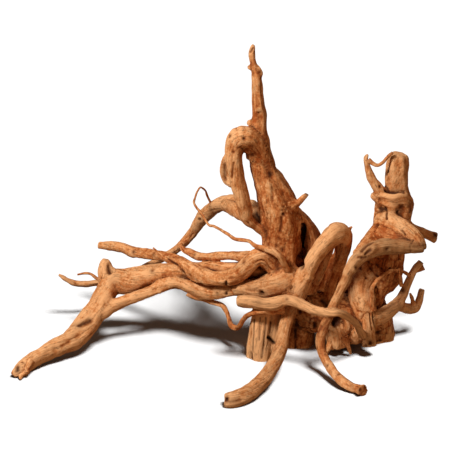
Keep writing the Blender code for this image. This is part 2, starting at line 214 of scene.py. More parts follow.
wood = [
    grow("trunk", TRUNK, tint=(0.5, 0.75, 0.6, 0.6, 0.6, 0.6, 0.65),
         rough=(1.6, 1, 0.6, 0.6, 0.8), flutes=7),
    grow("rear_limb", REAR_LIMB, tint=(0.6, 0.5)),
    grow("left_column", LEFT_COLUMN, tint=(0.1, -0.2, 0), rough=(0.8, 0.7), lobes=0.08),
    grow("middle_column", MIDDLE_COLUMN, tint=(0.2, -0.1, 0), rough=(0.8, 0.7), lobes=0.08),
    grow("right_column", RIGHT_COLUMN, tint=(0.65, 0.45), rough=(1.2,), lobes=0.08),
    grow("back_column", BACK_COLUMN, tint=(0.6, 0.5), rough=(1.8,), flutes=4),
    grow("trunk_stub", TRUNK_STUB, tint=(0.5, 0.7)),
    grow("spike_stub", SPIKE_STUB, tint=(0.4, 0.5)),
    grow("spike_burr", SPIKE_BURR, tint=(0.45, 0.6)),
    grow("spike_thorn", SPIKE_THORN, tint=(0.4, 0.4)),
]
# Marks are lines pressed into the wood where they are seen: the line, its width, its depth (less
# than 0 where it stands out), how dark it is, and how much redder (less than 0 where paler).
marks = [
    ([(-45, 450), (-40, 456)], 1.6, 1.6, 0.7),
    ([(-30, 420)], 2.2, 1, 0.7),
    ([(-32, 363)], 5, -2.5, 0, -0.5),
    ([(-32, 360)], 2.2, 3, 0.8),
    ([(-35, 356), (-28, 352)], 3.5, 0, 0.1, 0.5),
    ([(-48, 348)], 3, 1.5, 0.8),
    ([(-41, 296)], 4, 1, 0.6),
    ([(-38, 273), (-33, 258)], 4.5, 0, 0.1, 0.4),
    ([(-14, 267)], 4, 1.2, 0.75),
    ([(-12, 246), (-12, 228)], 2.5, 0.8, 0.5),
    ([(5, 218)], 2, 0.8, 0.7),
    ([(10, 214)], 2, 0.8, 0.7),
    ([(3, 213)], 1.8, 0.8, 0.7),
    ([(5, 206)], 3, 3, 0.9),
    ([(2, 202), (2, 192), (0, 181)], 1.8, 1.5, 0.7),
    ([(-1, 170)], 3, 1, 0.6),
    ([(-24, 185)], 8, 0, 0.1, 0.4),
    ([(-5, 159)], 3, 1, 0.7),
    ([(3, 154)], 3, 1, 0.7),
    # Painted shade: near black down the deep gap between the trunk and the buttress.
    ([(34, 189), (34, 159), (32, 129)], 5, 7, 1),
    ([(40, 238)], 4, 1.5, 0.8),
    ([(42, 202)], 4, 1, 0.6),
    ([(56, 193)], 4, 1, 0.5),
    ([(62, 182)], 3.5, 1, 0.6),
    ([(-17, 22), (-14, 19), (-9, 13)], 2.2, 5, 1),
    ([(-39, 48), (-40, 26), (-41, 0)], 1.5, 1.8, 0.7),
    ([(-30, 51), (-31, 18)], 1.4, 1.3, 0.6),
    ([(-21, 51), (-22, 33), (-24, 10), (-27, -9)], 1.5, 1.8, 0.7),
    ([(-14, 45), (-15, 28)], 1.3, 1, 0.6),
    ([(-43, -3), (-43, -9)], 3, 3, 0.8),
    ([(23, 32), (23, 7)], 1.6, 2, 0.8),
    ([(24, 48), (26, 40)], 3, 1.5, 0.7),
]

# The hook: a root that leaves the trunk below the spike, bends over and comes back to it, with
# an open slot between the two, and a burl behind it.
HOOK = [(-19, 262, 2, 14), (-24, 284, 0, 15), (-30, 301, -4, 15), (-40, 313, -9, 17),
    (-51, 321, -15, 17), (-62, 320, -16, 16.5), (-68, 307, -16, 14), (-69, 288, -18, 12.5),
    (-66, 268, -18, 12), (-62, 248, -18, 12), (-56, 226, -18, 12), (-52, 210, -16, 11.5),
    (-49, 199, -14, 8.5), (-38, 190, -10, 6.5), (-24, 182, -6, 9)]
HOOK_CROTCH = [(-36, 309, -4, 13), (-43, 298, -8, 8.5), (-47, 288, -9, 4.5)]
HOOK_FOOT = [(-51, 204, -12, 10), (-58, 209, 21, 11.5), (-69, 215, 75, 11), (-82, 219, 138, 9)]
HOOK_BURL = [(-63, 303, -4, 7.5), (-74, 292, 14, 10), (-77, 282, 21, 12), (-76, 265, 21, 12.5),
    (-71, 256, 12, 10), (-60, 252, -6, 6)]
wood += [
    grow("hook", HOOK, tint=(0.6, 0.6, 0.4, 0.4, 0.45, 0.6), rough=(0.8,)),
    grow("hook_crotch", HOOK_CROTCH, tint=(0.4,)),
    grow("hook_foot", HOOK_FOOT, tint=(0.5, 0.3)),
    grow("hook_burl", HOOK_BURL, tint=(0.25,), rough=(1.4,)),
]
marks += [
    ([(-54, 320)], 2.2, 3, 1),
    ([(-70, 284), (-71, 273), (-72, 262)], 1.4, 1.4, 0.7),
    ([(-70, 300)], 1.8, 1, 0.7),
    ([(-76, 324)], 3, 2, 0.7),
    ([(-54, 194)], 5, 0, 0.1, 0.4),
    ([(-62, 212)], 5, 0, 0.1, 0.4),
    # Painted shade: a black patch in the shaded pocket behind the hook's foot, beside the trunk.
    ([(-38, 208), (-35, 202), (-32, 198)], 8, 4, 1),
    ([(-84, 279), (-84, 261)], 5, 3, 0.7),
]

# The back arch: one long root that leaves the trunk to the rear, turns and runs down to the
# left, where it ends in a thin tail.
BACK_ARCH = [(-15, 192, 15, 16), (-34, 208, 57, 15), (-51, 218, 99, 13.5), (-66, 224, 129, 13),
    (-82, 224, 156, 12.5), (-99, 216, 186, 11.5), (-114, 204, 213, 11.5), (-123, 193, 230, 10),
    (-131, 179, 240, 8.5), (-141, 167, 242, 7), (-156, 154, 225, 6.5), (-176, 141, 201, 6),
    (-200, 128, 180, 6), (-225, 116, 162, 6), (-252, 106, 147, 6), (-274, 104, 135, 5.5),
    (-291, 102, 130, 5.5), (-308, 103, 128, 5), (-320, 108, 126, 4), (-332, 116, 124, 2.5)]
wood.append(grow("back_arch", BACK_ARCH, tint=(0.45, 0.15, 0.35, 0.3, 0.3, 0.4)))
marks += [
    ([(-88, 224)], 1.6, 1, 0.9),
    ([(-84, 221)], 1.6, 1, 0.9),
    ([(-102, 214)], 4, 0, 0.5),
    ([(-123, 199), (-120, 199)], 2.5, 2, 0.9),
]

# The left limbs: the big limb with its knee knob and its broken foot, the long root that joins
# it, and the two upper branches.
LIMB = [(-12, 132, -3, 18), (-36, 126, 9, 15), (-63, 122, 18, 13), (-93, 121, 33, 13.5),
    (-123, 121, 48, 14), (-158, 119, 60, 16), (-195, 115, 66, 17.5), (-227, 106, 69, 21),
    (-250, 106, 66, 20), (-261, 90, 51, 16), (-272, 68, 21, 16.5), (-292, 39, -6, 17.5),
    (-308, 21, -25, 17), (-327, 11, -40, 14), (-345, 2, -53, 13), (-362, -8, -67, 12),
    (-378, -18, -83, 11.5), (-391, -28, -100, 10), (-400, -33, -103, 6)]
KNEE_KNOB = [(-256, 102, 69, 16.5), (-261, 120, 72, 13.5), (-262, 132, 75, 10),
    (-261, 139, 76, 5.5)]
LONG_ROOT = [(-54, 96, 0, 11.5), (-72, 94, 9, 10), (-81, 93, 15, 11), (-99, 90, 27, 11.5),
    (-116, 91, 36, 12), (-134, 97, 42, 10.5), (-147, 102, 45, 10), (-160, 104, 45, 10.5),
    (-174, 100, 44, 10), (-192, 92, 40, 9), (-213, 84, 36, 9), (-234, 76, 30, 9),
    (-252, 68, 21, 9.5), (-267, 58, 10, 10), (-281, 50, 3, 8.5)]
UPPER_LEFT = [(-9, 132, -9, 18), (-24, 144, -20, 14), (-35, 143, -22, 12.5), (-48, 131, -18, 12.5),
    (-60, 119, -10, 12), (-76, 111, -3, 12), (-96, 110, 8, 11), (-112, 113, 21, 12.5),
    (-130, 122, 40, 12), (-145, 131, 60, 11), (-158, 138, 78, 9), (-172, 143, 96, 8.5),
    (-191, 146, 117, 8), (-207, 149, 135, 8.5), (-222, 151, 148, 9), (-236, 156, 160, 8),
    (-252, 159, 174, 7), (-271, 160, 189, 6)]
SHORT_UPPER = [(-27, 142, -12, 12), (-48, 142, 0, 9.5), (-68, 144, 18, 7.5), (-87, 144, 33, 7),
    (-106, 143, 50, 6.5), (-122, 144, 63, 7), (-134, 149, 72, 6), (-145, 154, 78, 4.5),
    (-150, 162, 82, 2)]
wood += [
    grow("limb", LIMB, tint=(0.5, 0.4, 0.35, 0.25, 0.2, 0.25), rough=(0.8, 0.7, 0.7, 1.1)),
    grow("knee_knob", KNEE_KNOB, tint=(0.2, 0.05), rough=(0.6,)),
    grow("long_root", LONG_ROOT, tint=(0.35, 0.2, 0.25, 0.2), rough=(0.8,)),
    grow("upper_left", UPPER_LEFT, tint=(0.6,)),
    grow("short_upper", SHORT_UPPER, tint=(0.6, 0.65, 0.65)),
]
marks += [
    ([(-220, 150)], 3, 1, 0.8),
    ([(-190, 147)], 3.5, 1, 0.8),
    ([(-262, 135)], 6, 0, 0, -0.5),
    ([(-252, 133)], 3, -1.5, 0, -0.3),
    ([(-256, 129), (-256, 120)], 4, 4, 0.75),
    ([(-252, 110), (-249, 100)], 6, 0.8, 0.15, -0.3),
    ([(-192, 122)], 3.5, 1.5, 0.7),
    ([(-302, 40), (-294, 43), (-285, 47)], 4, 2.5, 0.85),
    ([(-308, 38), (-297, 33), (-285, 39)], 2.5, -1.5, 0, -0.2),
    ([(-308, 40)], 5, 1, 0.35),
    ([(-303, 26), (-327, 9)], 2.8, 0.5, 0.3, 0.4),
    ([(-81, 105), (-81, 86)], 2.2, 2.5, 1),
    ([(-76, 104)], 3, -1.5, 0),
    ([(-94, 88)], 2.5, 0.8, 0.7),
    ([(-180, 90)], 3, -2.5, 0.3),
    ([(-128, 146)], 2.5, 1, 0.7),
    ([(-135, 116)], 3, 0.5, 0.5),
    ([(-189, 155), (-171, 141), (-155, 132), (-144, 120), (-131, 109), (-117, 102)],
     1.6, 1.5, 0.9),
    ([(-55, 135)], 4, 1.5, 0.6),
    ([(-394, -22), (-394, -28)], 4, 4, 0.9),
    ([(-390, -33)], 2, 2, 0.8),
    ([(-387, -15), (-381, -21)], 1.5, 1.5, 0.7),
    ([(-379, -22), (-379, -32)], 3, -1.5, 0, -0.4),
]

# The front roots: the greyed front limb, the long pale root that crosses in front of the stump,
# and the leg that reaches forward to a broken end.
FRONT_LIMB = [(15, 126, -9, 19), (4, 109, -22, 20.5), (-16, 100, -22, 17.5), (-36, 96, -14, 14),
    (-56, 96, -2, 11.5), (-66, 94, 4, 10.5)]
PALE_ROOT = [(-64, 76, -42, 8), (-52, 76, -46, 10), (-39, 75, -51, 10), (-24, 72, -54, 9.5),
    (-8, 73, -57, 10), (8, 78, -58, 8), (21, 76, -62, 8), (34, 70, -66, 8), (50, 63, -74, 7),
    (63, 61, -81, 6), (76, 59, -88, 5.5), (88, 59, -87, 5.5), (100, 54, -75, 5.5),
    (110, 46, -60, 5.5), (118, 36, -44, 5.5), (123, 24, -27, 6)]
FRONT_LEG = [(10, 102, -18, 18), (15, 81, -27, 14), (14, 63, -33, 11.5), (9, 45, -46, 10.5),
    (5, 26, -66, 10), (2, 8, -82, 10), (-5, -10, -105, 10.5), (-15, -28, -132, 10.5),
    (-27, -44, -159, 11), (-42, -58, -183, 11), (-58, -67, -199, 11.5), (-72, -72, -205, 11),
    (-83, -73, -204, 9.5)]
wood += [
    grow("front_limb", FRONT_LIMB, tint=(0.5, 0.35), grey=(0.1, 0.35, 0.45), rough=(0.8,)),
    grow("pale_root", PALE_ROOT, tint=(0.05, -0.1, -0.1, -0.1, 0.05), grey=(0.2, 0.05, 0.05),
         rough=(0.8,)),
    grow("front_leg", FRONT_LEG, tint=(0.45, 0.4, 0.35), grey=(0.25, 0.25, 0.2, 0.1),
         rough=(0.7,)),
]
marks += [
    ([(-28, 87)], 4.5, 6, 1),
    ([(-32, 74)], 5, 0, 0.35),
    ([(10, 79)], 3, 1, 0.6),
    ([(30, 60)], 3, 2, 0.9),
    ([(-81, -69), (-81, -72)], 4, 5, 0.95),
    ([(-76, -75), (-62, -72)], 4, 1, 0.5),
]

# The front arch and what stands behind it: an inner root and its spur, the buttress right of the
# trunk, a root that runs to the back and a rib that closes the gap between the two.
ARCH = [(24, 90, -21, 18), (32, 104, -30, 15.5), (42, 124, -34, 13), (54, 146, -34, 12.5),
    (68, 164, -28, 13.5), (82, 177, -18, 16.5), (92, 175, -6, 16), (94, 159, 4, 13.5),
    (90, 141, 9, 11.5), (84, 123, 9, 11), (78, 102, 8, 12), (75, 78, 6, 13.5)]
INNER_ROOT = [(76, 162, -18, 7.5), (69, 141, -21, 6.5), (62, 122, -22, 6.5), (52, 104, -18, 7.5)]
INNER_SPUR = [(74, 145, 10, 7), (72, 134, 12, 7), (69, 116, 12, 8), (62, 94, 10, 10)]
BUTTRESS = [(21, 207, 0, 11), (36, 195, 4, 7.5), (44, 180, 8, 9), (48, 162, 8, 11.5),
    (48, 141, 4, 12.5), (44, 117, 2, 14), (38, 90, 0, 16.5)]
BACK_ROOT = [(14, 213, 9, 13.5), (33, 189, 30, 17), (46, 170, 51, 19), (51, 142, 75, 18),
    (56, 114, 99, 17.5), (63, 88, 123, 16), (70, 68, 146, 15), (81, 57, 168, 13)]
REAR_RIB = [(26, 204, 30, 11), (34, 176, 36, 11), (37, 148, 36, 12), (36, 116, 30, 13)]
wood += [
    grow("arch", ARCH, tint=(0.2, 0.15, 0.25, 0.6, 0.8, 0.7), rough=(0.9, 0.9, 1.5, 1.5)),
    grow("inner_root", INNER_ROOT, tint=(0.7, 0.6), rough=(1.2,)),
    grow("inner_spur", INNER_SPUR, tint=(0.9,), rough=(1.2,)),
    grow("buttress", BUTTRESS, tint=(0.65, 0.75), rough=(1.4,)),
    grow("back_root", BACK_ROOT, tint=(0.6, 0.7), rough=(1.2,)),
    grow("rear_rib", REAR_RIB, tint=(0.9,), rough=(1.2,)),
]
marks.append(([(42, 111), (48, 110)], 4, -2, 0))

# The saddle of wood between the two trunks, with a broken stub and a sawn lump under it, and
# between them a burl and the swollen rim of a knot hole.
SADDLE = [(18, 78, 12, 27), (38, 64, 14, 32), (60, 62, 14, 33), (84, 60, 16, 31),
    (108, 57, 24, 30), (138, 50, 43, 28)]
BROKEN_STUB = [(76, 51, -6, 15), (82, 33, -12, 16), (86, 17, -16, 15.5), (88, 6, -19, 13)]
SAWN_LUMP = [(106, 60, 9, 16.5), (109, 40, 0, 16), (113, 24, -7, 15), (115, 14, -9, 10)]
BURL = [(36, 45, 0, 14), (51, 48, -6, 20), (68, 45, -4, 15)]
KNOT_RING = [(74, 40, -10, 5), (78, 52, -13, 5), (87, 57, -14, 5), (98, 51, -14, 5.5),
    (102, 39, -15, 6), (94, 28, -16, 6), (82, 27, -15, 5)]
wood += [
    grow("saddle", SADDLE, tint=(0.7, 0.7, 0.6), rough=(1.8,), flutes=5),
    grow("broken_stub", BROKEN_STUB, tint=(0.4, 0.1), rough=(2.4,)),
    grow("sawn_lump", SAWN_LUMP, tint=(0.5, 0.35), rough=(1.2,)),
    grow("burl", BURL, tint=(0.6, 0.75), rough=(1.6,)),
    grow("knot_ring", KNOT_RING, tint=(0.5,)),
]
marks += [
    ([(52, 42), (52, 36)], 3.5, 3, 0.95),
    ([(44, 44), (46, 50), (54, 51), (60, 46), (62, 38), (57, 30), (48, 30), (44, 36), (44, 44)],
     1.8, 1.5, 0.5),
    ([(63, 78), (72, 69)], 5, 4, 0.8),
    ([(42, 85), (52, 87), (60, 84)], 2, 2, 0.7),
    ([(84, 44)], 7, 12, 1),
]

# The second trunk on the right: a gnarled column with a rounded knob on top, a folded lip and a
# collar under it, a prong to its left, a shoulder, and a stub at its back.
RIGHT_TRUNK = [(137, 0, 54, 36.5), (137, 24, 51, 35.5), (137, 51, 50, 32.5), (133, 75, 48, 24.5),
    (137, 94, 48, 25.5), (148, 114, 50, 31), (154, 132, 50, 30), (158, 152, 51, 29),
    (162, 171, 52, 28.5), (166, 189, 52, 28.5), (170, 207, 52, 29), (172, 221, 52, 29),
    (173, 231, 52, 26.5), (175, 238, 52, 20), (175, 249, 52, 17.5), (175, 264, 52, 17.5),
    (176, 279, 52, 17.5), (177, 292, 52, 15.5), (178, 298, 52, 11.5)]
SHOULDER = [(164, 196, 36, 15), (146, 177, 21, 14), (133, 160, 0, 13), (118, 144, -27, 11)]
LEFT_PRONG = [(168, 214, 56, 12), (164, 224, 47, 12.5), (156, 234, 41, 11), (147, 246, 39, 9),
    (138, 259, 38, 7.5), (133, 272, 36, 6), (130, 283, 36, 5), (129, 291, 36, 4),
    (132, 297, 36, 2)]
LIP = [(138, 234, 45, 4), (150, 236, 34, 5), (168, 232, 27, 5.5), (184, 234, 33, 5),
    (197, 227, 46, 4.5)]
COLLAR = [(143, 228, 46, 4), (153, 227, 36, 6), (168, 224, 30, 8), (184, 223, 33, 8.5),
    (196, 217, 45, 7)]
KNOB_STUB = [(153, 226, 39, 7), (144, 230, 38, 5), (137, 235, 36, 3.5)]
BACK_STUB = [(174, 201, 69, 12), (189, 192, 81, 8.5), (202, 184, 87, 7), (216, 178, 92, 7.5),
    (234, 171, 96, 8.5)]
wood += [
    grow("right_trunk", RIGHT_TRUNK, tint=(0.6, 0.6, 0.8, 0.75, 0.5, 0.3, 0.35),
         rough=(1, 1.2, 1.4, 0.9, 0.4, 0.1), flutes=6, twist=0.03),
    grow("shoulder", SHOULDER, tint=(0.5,)),
    grow("left_prong", LEFT_PRONG, tint=(0.45,), rough=(0.8,)),
    grow("lip", LIP, tint=(0.35,)),
    grow("collar", COLLAR, tint=(0.5,)),
    grow("knob_stub", KNOB_STUB, tint=(0.4,)),
    grow("back_stub", BACK_STUB, tint=(0.55, 0.6)),
]
marks += [
    ([(162, 272)], 2.5, 3, 1),
    # Painted shade: a darker band under the lip.
    ([(174, 222), (186, 219)], 5, 1, 0.25),
    ([(159, 242), (171, 239), (186, 240)], 3, 3, 0.75),
    # Painted shade in the hollow under the lip.
    ([(183, 216)], 8, 3, 0.25),
    ([(195, 220), (196, 212)], 4, 1, 0.55),
    ([(158, 216), (160, 208), (160, 200)], 1.7, 3.5, 0.95),
    ([(164, 208)], 3, -1.5, 0),
    ([(177, 210)], 2.5, 3, 0.95),
    ([(196, 216)], 6, 0, 0.2, 0.5),
    ([(183, 182), (188, 176)], 1.6, 1.2, 0.7),
    ([(234, 176)], 5, 2.5, 0.85),
    ([(150, 248)], 2.5, 2.5, 0.9),
    ([(134, 269)], 2.5, -1, 0, -0.5),
    ([(123, 141), (135, 126), (153, 105)], 2.2, 1.8, 0.5),
    ([(130, 147), (144, 132), (162, 116)], 2.2, 1.8, 0.5),
    ([(120, 126), (129, 111), (144, 96)], 2.2, 1.8, 0.5),
]

# The elbow root: it leaves the second trunk to the right, doubles back and runs down in front
# to a thin leg.
ELBOW_UPPER = [(150, 195, 36, 13.5), (165, 193, 20, 16.5), (182, 186, 3, 14.5), (196, 178, -8, 12),
    (206, 169, -14, 10), (211, 160, -16, 8.5)]
ELBOW_LOWER = [(218, 160, -12, 5.5), (211, 159, -15, 9.5), (198, 158, -20, 10),
    (184, 158, -24, 10.5), (171, 158, -28, 11), (156, 158, -36, 11.5), (141, 154, -45, 11.5),
    (127, 147, -54, 11), (113, 137, -63, 10), (104, 124, -68, 9), (99, 110, -72, 8),
    (93, 96, -75, 7.5), (86, 81, -76, 7), (79, 66, -78, 7), (72, 51, -81, 7),
    (66, 38, -80, 7.5), (62, 26, -83, 7),
    (60, 15, -84, 7), (62, 3, -87, 7), (67, -10, -96, 7), (75, -23, -111, 7), (85, -36, -131, 7),
    (95, -45, -145, 7), (106, -52, -155, 7), (117, -56, -161, 7.5), (125, -58, -170, 9.5)]
ELBOW_WEB = [(150, 178, 14, 14), (165, 172, 0, 12), (182, 168, -10, 9), (198, 163, -14, 6)]
wood += [
    grow("elbow_upper", ELBOW_UPPER, tint=(0.3, 0.35, 0.5), rough=(0.8,)),
    grow("elbow_lower", ELBOW_LOWER, tint=(0.35, 0.35, 0.35, 0.9, 0.65, 0.55, 0.55),
         grey=(0.75, 0.4, 0.25, 0, 0), rough=(1.5, 1.5, 1, 0.9, 0.9)),
    grow("elbow_web", ELBOW_WEB, tint=(0.9,), rough=(1.2,)),
]
marks += [
    ([(211, 171)], 6, 0, 0, 0.5),
    ([(208, 158)], 6, 0.5, 0.3),
    ([(161, 154)], 3.5, 1.5, 0.7),
    ([(123, 152), (129, 159), (138, 165)], 2.5, 3, 0.6, 0.4),
    ([(129, 147), (136, 153)], 2.5, 2.5, 0.8, 0.4),
    ([(118, 142), (129, 142)], 2, 1.5, 0.5),
    ([(141, 156)], 3.5, -2, 0),
    ([(200, 168), (195, 159), (196, 150)], 1.6, 1, 0.4),
    ([(201, 159), (216, 158)], 4, 1, 0.35),
    ([(60, 36), (56, 26)], 4.5, 0, 0.3, 0.6),
    ([(111, 123), (112, 108)], 4, -2, 0.1),
    ([(114, 126)], 2.5, 2.5, 0.9),
    ([(98, 90)], 3, 1.2, 0.7),
    ([(71, -20)], 2.5, 1, 0.7),
    ([(88, -33)], 2.5, 1, 0.7),
    ([(120, -56)], 4, 1.5, 0.6),
]

# The stout front root with its torn end, the forked root beside it, and a rib that closes the
# crotch behind them.
STOUT_ROOT = [(140, 136, 54, 15), (129, 116, 34, 17), (121, 97, 16, 17.5), (122, 80, 4, 17),
    (127, 62, -5, 13.5), (132, 45, -13, 10), (133, 28, -20, 10), (134, 8, -28, 11.5)]
FORK_ROOT = [(123, 50, 0, 12), (138, 50, -2, 12), (153, 55, 8, 11.5), (165, 63, 21, 10.5),
    (176, 72, 33, 9), (183, 83, 40, 7), (190, 99, 46, 6), (196, 112, 51, 5.5),
    (203, 124, 56, 5.5), (212, 136, 60, 5)]
FORK_LOWER = [(171, 71, 30, 8.5), (182, 68, 40, 8.5), (193, 65, 48, 9), (202, 66, 54, 8.5),
    (208, 74, 58, 6.5), (211, 85, 60, 5.5), (213, 94, 62, 5)]
CROTCH_RIB = [(122, 100, 22, 12), (106, 94, 46, 12), (84, 82, 56, 12)]
wood += [
    grow("stout_root", STOUT_ROOT, tint=(0.55, 0.4, 0.35, 0.3), rough=(0.5, 0.5, 0.8)),
    grow("fork_root", FORK_ROOT, tint=(0.15, 0.1, 0.1), rough=(0.9,)),
    grow("fork_lower", FORK_LOWER, tint=(0.3, 0.05), rough=(0.9,)),
    grow("crotch_rib", CROTCH_RIB, tint=(0.9,), rough=(1.2,)),
]
marks += [
    ([(120, 80), (120, 74)], 3.5, 1.5, 0, -0.6),
    ([(110, 74), (116, 62), (126, 60)], 1.5, 1.2, 0.25),
    ([(122, 50), (126, 57), (132, 60), (136, 57)], 1.5, 1.3, 0.35),
    ([(114, 81), (117, 76), (123, 78), (126, 72)], 1.5, -1.2, 0, -0.5),
    ([(139, 58), (140, 48), (142, 38)], 1.5, 2, 0.8),
    ([(135, 57), (136, 45), (138, 34)], 1.3, 1.4, 0.6),
    ([(136, 14)], 4, 4, 0.95),
    ([(128, 9)], 3, 2, 0.7),
    ([(146, 29)], 4, 2, 0.7),
    ([(183, 93)], 4, 2, 0.8),
    ([(213, 135)], 3, 1, 0.8),
    ([(213, 125)], 2.5, 1, 0.8),
    ([(213, 93)], 2.5, 1, 0.7),
    ([(180, 66)], 4, 0, 0.4),
]

# All of it is one piece of wood, grown together: the roots are fused, and the creases between
# them are filled as living wood fills them.
VOXEL = 1.5
STEP_SMOOTHING = 0.5
STEP_PASSES = 4
CREASE_PASSES = 36
CREASE_PULL = 0.7
bpy.ops.object.select_all(action="DESELECT")
for tube in wood:
    tube.select_set(True)
bpy.context.view_layer.objects.active = wood[0]
bpy.ops.object.join()
body = bpy.context.object
body.name = body.data.name = "driftwood_body"


def finish_with(piece, kind, **settings):
    """Adds a modifier with these settings to the piece, and applies it."""
    step = piece.modifiers.new(kind.title(), kind)
    for key, value in settings.items():
        setattr(step, key, value)
    bpy.context.view_layer.objects.active = piece
    bpy.ops.object.modifier_apply(modifier=step.name)


def places_of(piece):
    """The places of a mesh's points, in millimetres."""
    places = np.empty(len(piece.data.vertices) * 3, np.float32)
    piece.data.vertices.foreach_get("co", places)
    return places.reshape(-1, 3).astype(float) / MM


def normals_of(piece):
    """The direction in which the surface faces at each of a mesh's points."""
    normals = np.empty(len(piece.data.vertices) * 3, np.float32)
    piece.data.vertex_normals.foreach_get("vector", normals)
    return normals.reshape(-1, 3).astype(float)


def put_places(piece, places):
    """Moves a mesh's points to these places, in millimetres."""
    piece.data.vertices.foreach_set("co", (places * MM).astype(np.float32).ravel())
    piece.data.update()


def edges_of(piece):
    """The two ends of each edge of a mesh."""
    ends = np.empty(len(piece.data.edges) * 2, np.int32)
    piece.data.edges.foreach_get("vertices", ends)
    return ends.reshape(-1, 2)


def neighbour_mean(values, ends):
    """For each point, the mean of a value over the points that an edge joins it to."""
    a, b = ends.T
    count = len(values)
    size = np.bincount(a, minlength=count) + np.bincount(b, minlength=count)
    total = [np.bincount(a, column[b], count) + np.bincount(b, column[a], count)
             for column in values.T]
    return np.stack(total, 1) / np.maximum(size, 1)[:, None]


def put_values(piece, name, values):
    """Stores a value, or a vector, for each point of the piece."""
    kind, field = ("FLOAT", "value") if values.ndim == 1 else ("FLOAT_VECTOR", "vector")
    layer = piece.data.attributes.new(name, kind, "POINT")
    layer.data.foreach_set(field, values.astype(np.float32).ravel())


finish_with(body, "REMESH", mode="VOXEL", voxel_size=VOXEL * MM)
finish_with(body, "SMOOTH", factor=STEP_SMOOTHING, iterations=STEP_PASSES)
ends = edges_of(body)
places = places_of(body)
for _ in range(CREASE_PASSES):
    pull = neighbour_mean(places, ends) - places
    normals = normals_of(body)
    inward = np.maximum(0, np.einsum("ij,ij->i", pull, normals))
    places += CREASE_PULL * inward[:, None] * normals
    put_places(body, places)

# The grain. Weather has worn it into ridges, furrows and long checks that wind along each root.
KNOB_SIZE = (15, 15, 26)
GNARL_SIZE = (8, 8, 13)
RIDGE_SIZE = (4, 4, 34)
CHECK_SIZE = (8, 8, 130)
KNOB_HEIGHT = 1.1
GNARL_HEIGHT = 0.7
RIDGE_HEIGHT = 0.65
CHECK_DEPTH = 1.4
CHECK_WIDTH = 0.07
CHECK_ROUGHNESS = 1.6
CHECK_SHADE = 0.4
OPENING_GAIN = 2.5
OPENING_START = 0.3
SEAM_FADE = 3


def noise_at(points, size, shift):
    """Smooth noise from -1 to 1 over points, whose spots are as large as size."""
    return np.array([noise.noise(point) for point in (points / size + shift).tolist()])


all_grown = {key: np.concatenate(parts) for key, parts in grown.items()}
all_frames = np.array(frames)
finder = KDTree(len(all_grown["place"]))
for number, place in enumerate(all_grown["place"].tolist()):
    finder.insert(place, number)
finder.balance()


def nearest_grown(places):
    """For each place, the number of the nearest point of the roots as they were grown."""
    return np.array([finder.find(place)[1] for place in places.tolist()])


def fibre_of(places, frame_rows):
    """Where each place lies in its root: across the grain, twice, and along it."""
    offset = places - frame_rows[:, 0:3]
    x, y, along = (np.einsum("ij,ij->i", offset, frame_rows[:, k:k + 3]) for k in (3, 6, 9))
    turn = frame_rows[:, 13]
    return np.stack([x * np.cos(turn) + y * np.sin(turn), y * np.cos(turn) - x * np.sin(turn),
                     frame_rows[:, 12] + along], 1)


nearest = nearest_grown(places)
fibre = fibre_of(places, all_frames[all_grown["ring"][nearest]])
rough = all_grown["tone"][nearest, 2]
root = all_grown["root"][nearest]

# The grain fades out at the seams, where one root's fibres meet another's.
clear = np.ones(len(places))
clear[ends[root[ends[:, 0]] != root[ends[:, 1]]].ravel()] = 0
for _ in range(SEAM_FADE):
    np.minimum.at(clear, ends[:, 0], clear[ends[:, 1]] + 1 / SEAM_FADE)
    np.minimum.at(clear, ends[:, 1], clear[ends[:, 0]] + 1 / SEAM_FADE)
rough = rough * clear
knobs = noise_at(fibre, KNOB_SIZE, shift=7)
gnarls = noise_at(places, GNARL_SIZE, shift=17)
ridges = noise_at(fibre, RIDGE_SIZE, shift=31)
checks = noise_at(fibre, CHECK_SIZE, shift=57)
openness = np.clip(OPENING_GAIN * noise_at(fibre, KNOB_SIZE, shift=91) - OPENING_START, 0, 1)
check = np.exp(-(checks / CHECK_WIDTH) ** 2) * openness
height = (KNOB_HEIGHT * knobs + GNARL_HEIGHT * np.sqrt(rough) * gnarls
          + RIDGE_HEIGHT * rough * ridges
          - CHECK_DEPTH * np.minimum(rough, CHECK_ROUGHNESS) * check)
normals = normals_of(body)
places += height[:, None] * normals
put_places(body, places)

# The marks of its life: knots, pits, hollows, cracks and stains, each where it is seen, and
# painted shade in the deep gap beside the trunk, in the pocket behind the hook's foot and under
# the lip.
SHADE_SPREAD = 1.15
SHORTEST_LINE = 1e-9
dark = CHECK_SHADE * check * np.minimum(rough, 1)
red = np.zeros(len(places))
body_tree = BVHTree.FromPolygons([tuple(p) for p in places.tolist()],
                                 [tuple(p.vertices) for p in body.data.polygons])


def on_wood(across, rise):
    """Where the line of sight through this point of the view meets the wood."""
    target = aim + Vector((across - AIM_ACROSS, (rise - AIM_RISE) * math.sin(VIEW_RISE),
                           (rise - AIM_RISE) * math.cos(VIEW_RISE)))
    return body_tree.ray_cast(eye, (target - eye).normalized())[0]


for line, width, depth, shade, *redder in marks:
    spots = [np.array(spot) for spot in (on_wood(*point) for point in line) if spot]
    gap = np.full(len(places), np.inf)
    for start, end in zip(spots, spots[1:] or spots):
        run = end - start
        share = np.clip((places - start) @ run / max(run @ run, SHORTEST_LINE), 0, 1)
        gap = np.minimum(gap, np.linalg.norm(places - start - share[:, None] * run, axis=1))
    fall = np.exp(-(gap / width) ** 2)
    places = places - (depth * fall)[:, None] * normals
    dark = np.maximum(dark, shade * np.exp(-(gap / (width * SHADE_SPREAD)) ** 2))
    if redder:
        red += redder[0] * fall
put_places(body, places)
put_values(body, "dark", dark)
put_values(body, "red", red)

# The foot was sawn flat, and the tips that touch down are flat at the same level. The root is
# thinned to at most MOST_TRIANGLES triangles, and kept within the reach of its solid.
MOST_TRIANGLES = 190000
SHARPEST_BEND = math.radians(60)


def select_only(piece):
    """Selects this piece and nothing else, for the operators that follow."""
    bpy.ops.object.select_all(action="DESELECT")
    piece.select_set(True)
    bpy.context.view_layer.objects.active = piece


